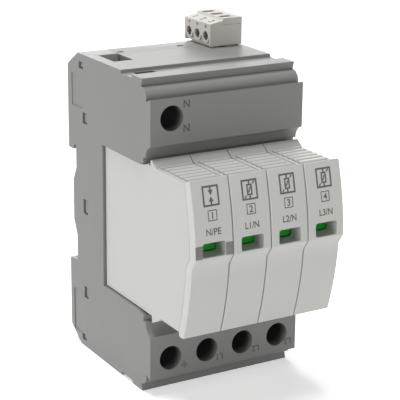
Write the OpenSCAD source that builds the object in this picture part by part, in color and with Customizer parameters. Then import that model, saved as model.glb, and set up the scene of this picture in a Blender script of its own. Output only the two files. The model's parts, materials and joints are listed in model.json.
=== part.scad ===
// Four-pole surge arrester for a 35 mm top-hat rail: a base with five screw
// terminals, four plug-in protection modules and a three-pole signal plug.
// X runs across the poles, the front looks along -Y and Z is up. The origin
// lies on the rail's front plane, at mid-width, on the rail's centre line.

/* [Poles] */
// Width of one plug-in pole
pole_pitch = 12.5; // [12.5:0.1:18]
// Housing side that stands outside the outer plugs
side_margin = 0.7; // [0.5:0.1:3]
// Gap between neighbouring plugs
plug_gap = 0.3; // [0.2:0.05:0.6]

/* [Housing] */
// Height of the housing
body_h = 95.6; // [94:0.2:110]
// Rail plane to the housing's front faces
front_d = 48.7; // [48:0.1:56]
// Height of the bay that takes the plugs
bay_h = 45; // [45:0.5:48]
// Rail plane to the back wall of the bay
bay_d = 18.4; // [18:0.1:20]
// Thickness of the bay's back wall
bay_wall = 1.6; // [1.2:0.1:2]
// Thickness of the housing's side walls
side_wall = 1.3; // [1.1:0.1:2]
// Thickness of the top and bottom walls round the rear cover
end_wall = 2.2; // [1.8:0.1:3]
// Radius of the bay roof's upturned front edge
roof_r = 15; // [12:0.5:25]
// Radius of the cove between the bay and the front face
cove_r = 4.1; // [4:0.1:8]
// Radius of the rounded bead above the front face
bead_r = 3.1; // [2.6:0.1:3.3]
// Width of the lip along the front of the end face
lip_w = 5.4; // [4:0.1:8]
// Width of the groove behind that lip
groove_w = 6.9; // [6.4:0.1:9]
// Depth of that groove
groove_depth = 1; // [0.5:0.1:1.5]

/* [Rail] */
// Height of the rail over its two flanges
rail_w = 35; // [35:0.5:36]
// Thickness of the rail's flanges
rail_t = 1; // [1:0.1:1.5]
// Depth of the fixed hook behind the rail's upper flange
hook_overlap = 1; // [0.8:0.1:2]
// Housing behind the rail's front plane
rear_d = 5.2; // [5:0.1:7]
// Height of the pad that stands into the rail's channel
pad_d = 2.2; // [1:0.1:3]
// Width of the sliding foot
foot_w = 30; // [20:1:36]
// Travel of the sliding foot
foot_travel = 3; // [2:0.1:3.4]

/* [Terminals] */
// Rail's centre line to the terminal screws
term_z = 36.6; // [36:0.1:40]
// Diameter of the screwdriver holes
tool_hole_d = 7.5; // [7:0.1:8]
// Diameter of the terminal screw's head
screw_head_d = 6.8; // [6:0.1:6.9]
// Diameter of the terminal screw's thread
screw_d = 5; // [4:0.1:5.2]
// Rail plane to the front of the screw heads
screw_front_d = 34; // [33:0.1:38]
// Thickness of the screw heads
screw_head_t = 3; // [2:0.1:4]
// Width of a clamp cage
cage_w = 9; // [8:0.1:9]
// Height of a clamp cage
cage_h = 8.6; // [8:0.1:9]
// Wall of a clamp cage
cage_wall = 1.4; // [1:0.1:1.8]
// Travel of a clamp cage
cage_travel = 6.4; // [5:0.1:6.5]
// Width of the wire funnel's mouth
funnel_w = 6.4; // [6:0.1:8]
// Length of the wire funnel's mouth along the depth
funnel_l = 10.2; // [8:0.1:11]

/* [Contacts] */
// Thickness of the contact strip
strip_t = 1.4; // [1:0.1:1.6]
// Width of the contact strip
strip_w = 6; // [5:0.1:6.4]
// Rail's centre line to the middle of a plug's blade
blade_z = 14; // [12:0.1:16]
// Height of a plug's blade
blade_h = 5.4; // [4:0.1:6]
// Thickness of a plug's blade
blade_t = 1.5; // [1:0.1:2]
// Length of a blade behind the plug
blade_l = 8.7; // [7:0.1:9]
// Thickness of the jaw's spring leaves
leaf_t = 0.8; // [0.5:0.1:1]

/* [Plugs] */
// Housing's front faces to the foremost point of a plug
plug_out = 24.5; // [24:0.1:28]
// Thickness of the plug's front cap
cap_t = 3; // [2.5:0.1:3.4]
// Radius of the two curved faces of the cap
cap_r = 90; // [60:1:200]
// Height of the front edge of the cap's top above the rail's centre line
cap_top = 24.4; // [24:0.1:26]
// Lower edge of the cap below the rail's centre line
cap_low = 22.8; // [22.4:0.1:24]
// Set-back of the cap's lower face
cap_step = 2.1; // [1:0.1:2.6]
// Wall of the plug's shell
shell_wall = 1; // [0.8:0.1:1.4]
// Number of grip ridges on the plug's top
ridges = 6; // [3:1:6]
// Spacing of the grip ridges
ridge_pitch = 2.7; // [2:0.1:2.7]
// Height of the grip ridges
ridge_h = 0.6; // [0.3:0.1:1]
// Width of the status window
window_w = 7.3; // [6:0.1:8]
// Height of the status window
window_h = 4.1; // [3:0.1:5]
// Lower edge of the status window above the rail's centre line
window_z = 2.8; // [2.6:0.1:3.2]
// Travel of the status flag
flag_travel = 6; // [4:0.1:6.4]

/* [Signal plug] */
// Spacing of the signal poles
sig_pitch = 5.08; // [5:0.01:5.2]
// Width of the signal plug
sig_w = 11.5; // [11:0.1:12]
// Height of the signal plug above the housing
sig_h = 9; // [8.5:0.1:10]
// Housing's side to the middle of the signal plug
sig_side = 6.45; // [6.3:0.05:6.6]
// Rail plane to the middle of the signal plug
sig_d = 7.1; // [7:0.1:7.4]
// Diameter of the signal plug's screw holes
sig_hole_d = 3; // [2.8:0.1:3.2]
// Travel of the signal clamps
sig_travel = 1.8; // [1:0.1:1.8]

/* [Hidden] */
$fn = 48;

poles = 4;
// Terminal names with their pole and their side, 1 above and -1 below
TERMINALS = [["n", 1, 1], ["pe", 1, -1], ["l1", 2, -1], ["l2", 3, -1], ["l3", 4, -1]];
base_grey = [0.55, 0.55, 0.54];
cover_grey = [0.5, 0.5, 0.49];
plug_grey = [0.8, 0.8, 0.78];
cap_grey = [0.76, 0.76, 0.73];
copper = [0.78, 0.55, 0.35];
steel = [0.7, 0.71, 0.73];
dark = [0.25, 0.25, 0.26];
flag_green = [0.05, 0.5, 0.12];
signal_white = [0.86, 0.84, 0.8];
varistor_blue = [0.2, 0.3, 0.5];
ceramic_white = [0.85, 0.83, 0.8];

// Clearances and small common sizes
fit = 0.1;
slide_gap = 0.2;
run_gap = 0.3;
past = 1;
thread_gap = 0.05;

// Housing
body_w = poles * pole_pitch + 2 * side_margin;
inner_w = body_w - 2 * side_wall;
half_h = body_h / 2;
bay_z = bay_h / 2;
face_drop = 5.2;
face_z = half_h - face_drop;
mouth_set = 3;
mouth_d = front_d - mouth_set;
mouth_land = 1.2;
mouth_rebate = 1.3;
roof_run = 6;
roof_d = mouth_d - roof_run;
lip_set = 5.6;
lip_d = front_d - lip_set;
bead_drop = 2.3;
bead_z = half_h - bead_drop;
lip_over = 0.7;
groove_slope = 0.7;
groove_rise = 0.2;
corner_set = 0.6;
corner_h = 0.8;
chamfer_run = 6.6;
chamfer_drop = 4.2;
cover_d = 1.4;
cover_z = half_h - end_wall;
web_t = 1.5;
pocket_z = term_z - cage_h / 2 - slide_gap - web_t;

// Rear cover's snap arms: height of the middle, front end of the window and window height
SNAPS = [
    [half_h - 3.6, 5.7, 2], [28.1, 7.9, 3.4], [-0.4, 7.7, 4.6], [-28.9, 7.6, 3.8], [3 - half_h, 5.7, 1.9]
];
snap_t = 1.3;
snap_l = 2.8;
snap_notch = 0.9;
tongue_d = 10.4;
tongue_nick = [2.1, 1.4, 1];
tongue_nick_d = 8;

// Shallow panel and stepped line on the housing's left side
panel_y = [-4.5, 2.4];
panel_z = [30.8, 40.8];
panel_depth = 0.3;
step_y = [-6, 2.85];
step_z = [-44, -30];

// Terminals
chamber_w = cage_w + 2 * slide_gap;
chamber_h = cage_h + 2 * slide_gap;
bar_d = 19;
cage_gap_d = 10.9;
cage_head_t = 2;
screw_relief = 0.9;
cage_front_d = bar_d + screw_relief + cage_head_t;
cage_rear_d = cage_gap_d - cage_wall;
chamber_d = cage_front_d + cage_travel + run_gap;
funnel_d = (bar_d - strip_t + cage_gap_d) / 2;
comb_slot_l = 4.2;
comb_slot_wall = 1.1;
comb_set = 0.5;
funnel_flare_w = 0.6;
funnel_flare_l = 4;
funnel_depth = 4.5;
drive_slot = 1.2;
drive_depth = 1.4;

// Contacts
strip_d = 7.4;
run_extra = 2;
run_w = strip_w + run_extra;
jaw_set = 0.6;
jaw_d = bay_d - bay_wall - jaw_set;
jaw_flare = 0.7;
jaw_flare_l = 1.8;
leaf_extra = 0.6;
leaf_h = blade_h + leaf_extra;
slit_gap = 0.6;
busbar_z = 25;
busbar_h = 8;

// Plugs
plug_w = pole_pitch - plug_gap;
plug_d = front_d + plug_out;
plug_rear_gap = 0.5;
plug_rear_d = bay_d + plug_rear_gap;
blade_root = 7.4;
blade_root_d = plug_rear_d + blade_root;
plug_top = bay_z - run_gap;
shell_top = 23.1;
shell_low = 21.5;
shoulder_set = 0.7;
shoulder_nick = [1, 1.3];
shoulder_rise = 0.6;
shoulder_l = 4.2;
shoulder_d = mouth_d + shoulder_set;
cap_upper_z = -2.3;
cap_lower_z = 5;
window_sill = 0.5;
window_r = 0.6;
step_top = window_z - window_sill;
step_h = 3.2;
step_low = step_top - step_h;
seam = 0.12;
seam_end = [0.4, 0.2];
rear_wall = 1.5;
cap_lip = 0.6;
collar_wall = 1;
collar_wall_z = 1.2;
ridge_inset = 1.25;
ridge_crest = 0.45;
ridge_back = 0.8;
flag_depth = 5.8;
flag_d = plug_d - flag_depth;
flag_t = 0.8;
flag_w = 7.4;
flag_h = 12.5;
flag_lift = 0.1;
flag_z = window_z + flag_lift;
peg_d = 2.4;
peg_hole_d = 3;
peg_hole_l = 3;
peg_bite = 0.6;
tab_set = 2.2;
tab_l = 4.6;
tab_drop = 1.9;
blade_tip = 1.2;

// Signal plug
sig_x = body_w / 2 - sig_side;
sig_end = 0.45;
sig_l = 3 * sig_pitch + 2 * sig_end;
sig_lift = 0.4;
sig_base = half_h + sig_lift;
sig_x0 = sig_x - sig_w / 2;
sig_x1 = sig_x + sig_w / 2;
sig_screw_up = 3;
sig_screw_z = sig_base + sig_screw_up;
sig_strip_in = 4.4;
sig_strip_x = sig_x0 + sig_strip_in;
sig_strip_t = 0.6;
sig_pin_w = 1;
sig_ring_wall = 0.7;
sig_ring_thread = 0.9;
sig_ring_w = 3.8;
sig_ring_h = 4;
sig_gap_w = 2.4;
sig_head_t = 1;
sig_shank_d = 2.4;
ledge_w = 4.8;
ledge_drop = 0.8;
scallop_depth = 1.1;
scallop_end = 0.8;
boss_wall = 0.7;
entry_l = 0.9;
entry_w = 2.5;
socket_w = 2.4;
socket_set = 0.5;
socket_room = 3;
sig_head_gap = 0.15;
sig_slot = 0.5;
sig_gap_l = 2.6;
test_hole = [0.9, 1.2, 0.8];
test_up = 2.5;
lid_h = 2.2;
lid_line = 0.2;
header_depth = 7.6;
header_low = half_h - header_depth;
header_wall = 0.9;
header_floor = 1.4;
pin_set = 1.2;
header_w = 10.2;
header_inset = 0.47;
header_l = sig_l - 2 * header_inset;
spigot_depth = 5.8;
spigot_low = half_h - spigot_depth;
bar_t = 1.8;
bar_travel = 2.4;
bar_y = bay_d - bay_wall - bar_travel - run_gap;
arm_w = 1.8;
arm_h = 3.5;
arm_reach = 2.4;
beam_h = 6;
beam_end = 1.8;
arm_x = (pole_x(poles - 1) + pole_x(poles)) / 2 - arm_w / 2;
switch_gap = 2.2;
plunger_l = 1.6;
plunger_w = 1.2;
plunger_x = 0.8;
plunger_drop = 2.5;
switch_low = busbar_z + busbar_h / 2 + switch_gap;
arm_rise = 0.8;
arm_top = (switch_low + header_low) / 2 + arm_rise;
switch_in = 4.65;
switch_x = sig_x - switch_in;
tongue_from = 3.05;
tongue_x0 = pole_x(1) + tongue_from;
tongue_to = 10.05;
tongue_x1 = sig_x - tongue_to;

// Shared shapes
function pole_x(i) = (i - (poles + 1) / 2) * pole_pitch;
function sig_y(k) = -sig_d + (2 - k) * sig_pitch;
function arc(c, r, a0, a1, n) =
    [for (k = [0:n]) c + r * [cos(a0 + (a1 - a0) * k / n), sin(a0 + (a1 - a0) * k / n)]];
function rounded_rect(w, h, r) = [
    for (q = [0:3]) for (p = arc([0, 0], r, 90 * q, 90 * q + 90, 5))
        p + [(q == 0 || q == 3 ? 1 : -1) * (w / 2 - r), (q < 2 ? 1 : -1) * (h / 2 - r)]
];
function reversed(points) = [for (k = [len(points) - 1:-1:0]) points[k]];
function below(points) = [for (p = reversed(points)) [p.x, -p.y]];

module box(x, y, z) {
    translate([x[0], y[0], z[0]]) cube([x[1] - x[0], y[1] - y[0], z[1] - z[0]]);
}

// Extrudes a side view, given as points of depth and height, across the width
module across(w) {
    rotate([90, 0, 90]) translate([0, 0, -w / 2]) linear_extrude(w) children();
}

module rod_y(d, y0, y1) {
    translate([0, y1, 0]) rotate([90, 0, 0]) cylinder(d = d, h = y1 - y0);
}

module rod_x(d, x0, x1) {
    translate([x0, 0, 0]) rotate([0, 90, 0]) cylinder(d = d, h = x1 - x0);
}

// Turns a shape of the upper row upside down for the lower row
module row(side) {
    if (side > 0) children();
    else mirror([0, 0, 1]) children();
}

// Side view of one terminal block, from the bay's back wall round to the rear edge
roof_a = asin(roof_run / roof_r);
roof_end_z = bay_z + roof_r * (1 - cos(roof_a));
rebate_a = asin((roof_run - mouth_rebate) / roof_r);
cove_z = roof_end_z + mouth_land;
cove_a = acos(1 - mouth_set / cove_r);
bead_a = 195;
BLOCK = concat(
    [[-bay_d, bay_z]],
    arc([-roof_d, bay_z + roof_r], roof_r, 270, 270 - rebate_a, 4),
    [[-mouth_d + mouth_rebate, cove_z]],
    arc([-mouth_d - cove_r, cove_z], cove_r, 0, cove_a, 6),
    [[-front_d, face_z]],
    arc([-lip_d, bead_z - bead_r], bead_r, bead_a, 90, 7),
    [[-lip_d - lip_over, half_h], [-lip_d + lip_w, half_h]],
    [[-lip_d + lip_w + groove_slope, half_h - groove_depth]],
    [[-lip_d + lip_w + groove_w, half_h - groove_depth]],
    [[-lip_d + lip_w + groove_w + groove_rise, half_h]],
    [[rear_d - chamfer_run - corner_set, half_h], [rear_d - corner_set, half_h - chamfer_drop]],
    [[rear_d, half_h - chamfer_drop - corner_h]]
);
hook_z = rail_w / 2 - hook_overlap;
seat_gap = 0.5;
seat_z = rail_w / 2 + seat_gap;
hook_d = rail_t + slide_gap;
hook_slope = 0.7;
foot_gap = 2.1;
foot_z = rail_w / 2 + foot_gap;
foot_slope = 0.6;
foot_flange_d = 3.4;
foot_face_w = foot_w - 6;
foot_nose = 1.8;
foot_rake = 4.4;
foot_chamfer = 1.5;
pad_z = 6.5;
pad_foot_z = 11;
RAIL_SIDE = [
    [rear_d, hook_z], [hook_d + hook_slope, hook_z], [hook_d, hook_z + hook_slope], [hook_d, seat_z], [0, seat_z],
    [0, pad_foot_z], [pad_d, pad_z], [pad_d, -pad_z], [0, -pad_foot_z], [0, -foot_z],
    [rear_d, -foot_z - foot_slope]
];

module outline() {
    polygon(concat(BLOCK, RAIL_SIDE, below(BLOCK)));
}

// Space that one terminal needs in the housing, drawn for the upper row
module terminal_space() {
    box([-chamber_w / 2, chamber_w / 2], [-chamber_d, 0], [term_z - chamber_h / 2, term_z + chamber_h / 2]);
    slot_w = strip_w + 2 * slide_gap;
    run_room = run_w / 2 + slide_gap;
    box([-slot_w / 2, slot_w / 2], [-bar_d - slide_gap, 0], [pocket_z - fit, term_z]);
    box([-run_room, run_room], [-bar_d - slide_gap, 0], [pocket_z - strip_t - 2 * slide_gap, pocket_z]);
    translate([0, 0, term_z]) {
        rod_y(tool_hole_d, -front_d - past, -screw_front_d + screw_head_t + fit);
        rod_y(screw_d + 2 * run_gap, -screw_front_d, -chamber_d + past);
    }
    wire_funnel();
    comb_y = -lip_d + lip_w + groove_w - comb_set;
    comb_z = term_z + tool_hole_d / 2 + comb_slot_wall;
    box([-slot_w / 2, slot_w / 2], [comb_y - comb_slot_l, comb_y], [comb_z, half_h + past]);
}

// Wire entry that narrows towards the clamp
module wire_funnel() {
    neck_w = funnel_w - funnel_flare_w;
    neck_l = funnel_l - funnel_flare_l;
    floor_z = term_z + chamber_h / 2 - fit;
    rim_z = half_h + past;
    translate([0, -funnel_d, 0]) intersection() {
        across(funnel_w + past) polygon([
            [-neck_l / 2, floor_z], [neck_l / 2, floor_z],
            [neck_l / 2, half_h - funnel_depth], [funnel_l / 2, half_h],
            [funnel_l / 2, rim_z], [-funnel_l / 2, rim_z],
            [-funnel_l / 2, half_h], [-neck_l / 2, half_h - funnel_depth]
        ]);
        rotate([90, 0, 0]) translate([0, 0, -funnel_l]) linear_extrude(2 * funnel_l) polygon([
            [-neck_w / 2, floor_z], [neck_w / 2, floor_z],
            [funnel_w / 2, half_h], [funnel_w / 2, rim_z],
            [-funnel_w / 2, rim_z], [-funnel_w / 2, half_h]
        ]);
    }
}

// Holes in the bay's back wall for one plug
module bay_holes() {
    slit_w = blade_t + 2 * slit_gap;
    slit_z = blade_h / 2 + slit_gap;
    for (side = [-1, 1])
        box([-slit_w / 2, slit_w / 2], [-bay_d - past, -bay_d + bay_wall + past],
            [side * blade_z - slit_z, side * blade_z + slit_z]);
    rod_y(peg_hole_d, -bay_d - past, -bay_d + bay_wall + past);
}

// The signal header takes the place of the topmost arm on the right
function snap_sides(snap) = snap[0] > header_low ? [-1] : [-1, 1];

module snap_window(snap, side) {
    x0 = inner_w / 2 - fit;
    x = side > 0 ? [x0, x0 + side_wall + past] : [-x0 - side_wall - past, -x0];
    box(x, [-snap[1], -snap[1] + snap_l], [snap[0] - snap[2] / 2, snap[0] + snap[2] / 2]);
}

module snap_room(snap, side) {
    x0 = inner_w / 2 - snap_t - 2 * slide_gap;
    x = side > 0 ? [x0, inner_w / 2] : [-inner_w / 2, -x0];
    box(x, [-snap[1] - 2 * slide_gap, 0], [snap[0] - snap[2] / 2 - run_gap, snap[0] + snap[2] / 2 + run_gap]);
}

// Space behind the front wall for the contacts, the signal bar and the switch
module housing_rooms() {
    box([-inner_w / 2, inner_w / 2], [-bay_d + bay_wall, 0], [-pocket_z, pocket_z]);
    box([-inner_w / 2, inner_w / 2], [-cover_d, rear_d + past], [-cover_z, cover_z]);
    box([tongue_x0 - fit, tongue_x1 + fit], [-tongue_d - fit, rear_d + past], [cover_z - 3 * fit, half_h + past]);
    box([arm_x - 2 * slide_gap, inner_w / 2], [-bar_y - bar_travel - run_gap, 0], [pocket_z - fit, header_low + fit]);
    box([sig_x - header_w / 2 - fit, sig_x + header_w / 2 + fit],
        [-sig_d - header_l / 2 - fit, -sig_d + header_l / 2 + fit], [header_low - fit, half_h + past]);
    foot_room = foot_w / 2 + 2 * slide_gap;
    box([-foot_room, foot_room], [hook_d, rear_d + past], [-half_h - past, -cover_z + past]);
}

// Shallow relief of the left side: a bare panel, and a face that falls away towards a line
module side_relief() {
    x = -body_w / 2;
    box([x - past, x + panel_depth], panel_y, panel_z);
    translate([x, 0, step_z[0]]) linear_extrude(step_z[1] - step_z[0]) polygon([
        [0, step_y[0]], [panel_depth, step_y[1]], [-past, step_y[1]], [-past, step_y[0]]
    ]);
}

module base_housing() {
    color(base_grey) difference() {
        across(body_w) outline();
        housing_rooms();
        side_relief();
        for (t = TERMINALS)
            translate([pole_x(t[1]), 0, 0]) row(t[2]) terminal_space();
        for (i = [1:poles])
            translate([pole_x(i), 0, 0]) bay_holes();
        for (snap = SNAPS)
            for (side = snap_sides(snap)) {
                snap_window(snap, side);
                snap_room(snap, side);
            }
    }
}

// Runway of the rail foot in the rear cover, a slot with a narrower mouth
module foot_runway() {
    play = run_gap;
    z = [-half_h - past, -hook_z + play];
    box([-foot_w / 2 - play, foot_w / 2 + play], [hook_d, foot_flange_d + play], z);
    box([-foot_face_w / 2 - play, foot_face_w / 2 + play], [hook_d, rear_d + past], z);
}

module snap_arm(snap, side) {
    arm_x1 = inner_w / 2 - slide_gap;
    lug_x1 = inner_w / 2 + side_wall - run_gap;
    z = [snap[0] - snap[2] / 2 + 2 * slide_gap, snap[0] + snap[2] / 2 - slide_gap];
    x = side > 0 ? [arm_x1 - snap_t, arm_x1] : [-arm_x1, snap_t - arm_x1];
    lug_x = side > 0 ? [arm_x1 - fit, lug_x1] : [-lug_x1, fit - arm_x1];
    box(x, [-snap[1] - slide_gap, -cover_d + fit], z);
    box(lug_x, [-snap[1] + slide_gap, -snap[1] + snap_l - snap_notch], z);
}

module rear_cover() {
    cover_w = inner_w - 2 * fit;
    cover_top = cover_z - fit;
    color(cover_grey) difference() {
        union() {
            intersection() {
                across(cover_w) outline();
                box([-cover_w, cover_w], [-cover_d, rear_d + past], [-cover_top, cover_top]);
            }
            intersection() {
                across(cover_w) outline();
                box([tongue_x0, tongue_x1], [-tongue_d, rear_d + past], [cover_top - fit, half_h]);
            }
            for (snap = SNAPS)
                for (side = snap_sides(snap))
                    snap_arm(snap, side);
        }
        foot_runway();
        box([sig_x - header_w / 2 - fit, sig_x + header_w / 2 + fit],
            [-tongue_d, -sig_d + header_l / 2 + 2 * fit], [header_low - fit, half_h]);
        for (x = [tongue_x0 + snap_notch, tongue_x1 - snap_notch - tongue_nick.x])
            box([x, x + tongue_nick.x], [-tongue_nick_d, -tongue_nick_d + tongue_nick.y],
                [half_h - tongue_nick.z, half_h + past]);
    }
}

module rail_foot() {
    flange_d = foot_flange_d;
    face_d = rear_d - slide_gap;
    nose_z = -hook_z + fit;
    low_z = -half_h + foot_travel + run_gap;
    pull_slot = [6, 1.6];
    dimple = [7.2, 10];
    dimple_z = low_z + 8.5;
    color(dark) difference() {
        union() {
            across(foot_w) polygon([
                [hook_d + slide_gap, low_z], [flange_d, low_z], [flange_d, nose_z - foot_nose],
                [hook_d + 3 * slide_gap, nose_z], [hook_d + slide_gap, nose_z]
            ]);
            across(foot_face_w) polygon([
                [flange_d - fit, low_z], [face_d - foot_chamfer, low_z], [face_d, low_z + foot_chamfer],
                [face_d, nose_z - foot_rake], [flange_d - fit, nose_z - foot_nose + fit]
            ]);
        }
        translate([-pull_slot.x / 2, 0, low_z + pull_slot.y])
            cube([pull_slot.x, rear_d + past, pull_slot.y]);
        for (k = [-1:1])
            translate([k * 1.25 * dimple.x - dimple.x / 2, flange_d + slide_gap, dimple_z])
                cube([dimple.x, rear_d, dimple.y]);
    }
}

// Contact strip of one terminal, drawn for the upper row
module terminal_strip() {
    box([-strip_w / 2, strip_w / 2], [-bar_d, -bar_d + strip_t], [pocket_z - strip_t, term_z + cage_h / 2 - slide_gap]);
    box([-run_w / 2, run_w / 2], [-bar_d, -strip_d + strip_t], [pocket_z - strip_t - fit, pocket_z - fit]);
}

// Jaw that takes a plug's blade, with the upright it is bent from
module blade_jaw() {
    inner = blade_t / 2 + fit;
    box([-strip_w / 2, strip_w / 2], [-strip_d, -strip_d + strip_t], [blade_z - leaf_h / 2, pocket_z - fit]);
    for (side = [-1, 1])
        translate([0, 0, blade_z - leaf_h / 2]) linear_extrude(leaf_h) polygon([
            [side * inner, -strip_d + fit], [side * (inner + leaf_t), -strip_d + fit],
            [side * (inner + leaf_t), -jaw_d + jaw_flare_l], [side * (inner + leaf_t + jaw_flare), -jaw_d],
            [side * (inner + jaw_flare), -jaw_d], [side * inner, -jaw_d + jaw_flare_l - slide_gap]
        ]);
}

module upper_contact(i) {
    color(copper) translate([pole_x(i), 0, 0]) {
        blade_jaw();
        if (i == 1) terminal_strip();
    }
}

module lower_contact(i) {
    color(copper) translate([pole_x(i), 0, 0]) row(-1) {
        blade_jaw();
        terminal_strip();
    }
}

module neutral_busbar() {
    busbar_y = -strip_d + strip_t;
    color(copper)
        box([pole_x(1) - strip_w / 2, pole_x(poles) + strip_w / 2], [busbar_y, busbar_y + strip_t],
            [busbar_z - busbar_h / 2, busbar_z + busbar_h / 2]);
}

module terminal_screw(t) {
    head_y = -screw_front_d;
    cross_l = 2 * screw_head_d / 3;
    color(steel) translate([pole_x(t[1]), 0, t[2] * term_z]) difference() {
        union() {
            rod_y(screw_head_d, head_y, head_y + screw_head_t);
            rod_y(screw_d, head_y + screw_head_t - fit, -bar_d - fit);
        }
        box([-screw_head_d, screw_head_d], [head_y - past, head_y + drive_depth], [-drive_slot / 2, drive_slot / 2]);
        box([-drive_slot / 2, drive_slot / 2], [head_y - past, head_y + drive_depth], [-cross_l / 2, cross_l / 2]);
    }
}

module clamp_cage(t) {
    color(steel) translate([pole_x(t[1]), 0, t[2] * term_z]) difference() {
        box([-cage_w / 2, cage_w / 2], [-cage_front_d, -cage_rear_d], [-cage_h / 2, cage_h / 2]);
        box([-cage_w / 2 + cage_wall, cage_w / 2 - cage_wall], [-cage_front_d + cage_head_t, -cage_gap_d],
            [-cage_h, cage_h]);
        rod_y(screw_d + 2 * thread_gap, -cage_front_d - past, -cage_gap_d - past);
    }
}

// Depth of the cap's front face at a height, on its upper and its lower curve
function upper_face(z) = -plug_d + cap_r - sqrt(cap_r * cap_r - (z - cap_upper_z) * (z - cap_upper_z));
function lower_face(z) =
    -plug_d + cap_step + cap_r - sqrt(cap_r * cap_r - (z - cap_lower_z) * (z - cap_lower_z));
face_steps = 6;
FRONT = concat(
    [for (k = [0:face_steps]) let (z = cap_top + (step_top - cap_top) * k / face_steps) [upper_face(z), z]],
    [for (k = [0:face_steps]) let (z = step_low + (-cap_low - step_low) * k / face_steps) [lower_face(z), z]]
);

// Points of the front face between the shell's top and bottom, which the seam follows
function seam_points() = [for (p = FRONT) if (p.y < shell_top - seam_end[0] && p.y > -shell_low + seam_end[1]) p];
function set_back(points, t) = [for (p = points) [p.x + t, p.y]];

module plug_shell(i) {
    color(plug_grey) translate([pole_x(i), 0, 0]) difference() {
        union() {
            across(plug_w) shell_side();
            grip_ridges();
        }
        across(plug_w - 2 * shell_wall) shell_room();
        for (side = [-1, 1]) {
            blade_slot(side);
            nick_x = plug_w / 2 - shell_wall + slide_gap;
            box(side > 0 ? [nick_x, plug_w] : [-plug_w, -nick_x],
                [-shoulder_d - shoulder_nick.x + fit, -shoulder_d + fit],
                [bay_z + shoulder_set, bay_z + shoulder_set + shoulder_nick.y]);
        }
        rod_y(peg_hole_d + 2 * slide_gap, -plug_rear_d - peg_hole_l, -plug_rear_d + past);
    }
}

// Side view of the plug's shell: it fills the bay, then stands proud of the housing
module shell_side() {
    top_r = roof_r + run_gap;
    top_a = asin((mouth_d - roof_d) / top_r);
    tab_d = mouth_d + tab_set;
    polygon(concat(
        [[-plug_rear_d, -plug_top], [-plug_rear_d, plug_top]],
        arc([-roof_d, bay_z + roof_r], top_r, 270, 270 - top_a, 4),
        [[-shoulder_d, roof_end_z], [-shoulder_d - 2 * shoulder_set, cap_top + shoulder_rise]],
        [[-shoulder_d - shoulder_l, shell_top], [upper_face(shell_top) + cap_t + seam, shell_top]],
        set_back(seam_points(), cap_t + seam),
        [[lower_face(-shell_low) + cap_t + seam, -shell_low], [-tab_d - tab_l - run_gap, -shell_low]],
        [[-tab_d - tab_l, -bay_z + slide_gap], [-tab_d - run_gap, -bay_z - tab_drop], [-tab_d, -plug_top]]
    ));
}

// Hollow of the shell, open towards the cap
module shell_room() {
    wall_z = 1.2;
    polygon(concat(
        [[-plug_rear_d - rear_wall, -shell_low + wall_z], [-plug_rear_d - rear_wall, plug_top - wall_z]],
        [[upper_face(plug_top - wall_z) - past, plug_top - wall_z]],
        [[-plug_d, step_top], [lower_face(-shell_low + wall_z) - past, -shell_low + wall_z]]
    ));
}

module grip_ridges() {
    back = ridge_pitch * ridge_back;
    toe_y = upper_face(shell_top) + cap_t + 2 * seam;
    across(plug_w - 2 * ridge_inset) for (k = [0:ridges - 1])
        translate([toe_y + k * ridge_pitch, shell_top]) polygon([
            [0, -fit], [back, -fit], [back, ridge_h], [ridge_pitch * ridge_crest, ridge_h]
        ]);
}

module blade_slot(side) {
    w = blade_t + 2 * fit;
    h = blade_h / 2 + fit;
    box([-w / 2, w / 2], [-plug_rear_d - peg_hole_l, -plug_rear_d + past], [side * blade_z - h, side * blade_z + h]);
}

module plug_cap(i) {
    collar_w = window_w + 2 * collar_wall;
    collar_d = flag_d + run_gap;
    color(cap_grey) translate([pole_x(i), 0, 0]) difference() {
        union() {
            across(plug_w) polygon(concat(
                FRONT,
                [[lower_face(-cap_low) + cap_t - cap_lip, -cap_low]],
                [[lower_face(-shell_low) + cap_t, -shell_low]],
                set_back(reversed(seam_points()), cap_t),
                [[upper_face(shell_top) + cap_t, shell_top]]
            ));
            box([-collar_w / 2, collar_w / 2], [upper_face(window_z) + collar_wall, -collar_d],
                [window_z - collar_wall_z, window_z + window_h + collar_wall_z]);
        }
        translate([0, -flag_d, window_z + window_h / 2]) rotate([90, 0, 0])
            linear_extrude(flag_depth + past) polygon(rounded_rect(window_w, window_h, window_r));
    }
}

module plug_blade(i, side) {
    color(copper) translate([pole_x(i), 0, side * blade_z]) translate([0, 0, -blade_h / 2])
        linear_extrude(blade_h) polygon([
            [-blade_t / 2, -blade_root_d], [blade_t / 2, -blade_root_d],
            [blade_t / 2, -plug_rear_d + blade_l - blade_tip], [blade_t / 4, -plug_rear_d + blade_l],
            [-blade_t / 4, -plug_rear_d + blade_l], [-blade_t / 2, -plug_rear_d + blade_l - blade_tip]
        ]);
}

// Protection elements inside the plugs: a gas-filled gap in the first, discs in the others
module spark_gap() {
    tube = [8.4, 24];
    ends = [8, 4.4];
    color(ceramic_white) translate([pole_x(1), -blade_root_d - tube.x / 2, 0]) {
        translate([0, 0, -tube.y / 2]) cylinder(d = tube.x, h = tube.y);
        for (side = [-1, 1])
            translate([0, 0, side * (tube.y + ends.y) / 2 - ends.y / 2]) cylinder(d = ends.x, h = ends.y);
    }
}

module varistor(i) {
    side_l = 32;
    corner = 4;
    t = 6.4;
    color(varistor_blue) translate([pole_x(i), -blade_root_d - fit - side_l / 2, 0]) across(t)
        polygon(rounded_rect(side_l, side_l, corner));
}

module status_flag(i) {
    r = 1;
    color(flag_green) translate([pole_x(i), -flag_d + flag_t, flag_z]) rotate([90, 0, 0])
        linear_extrude(flag_t) polygon(concat(
            arc([-flag_w / 2 + r, r], r, 180, 270, 4), arc([flag_w / 2 - r, r], r, 270, 360, 4),
            [[flag_w / 2, flag_h], [-flag_w / 2, flag_h]]
        ));
}

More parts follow.
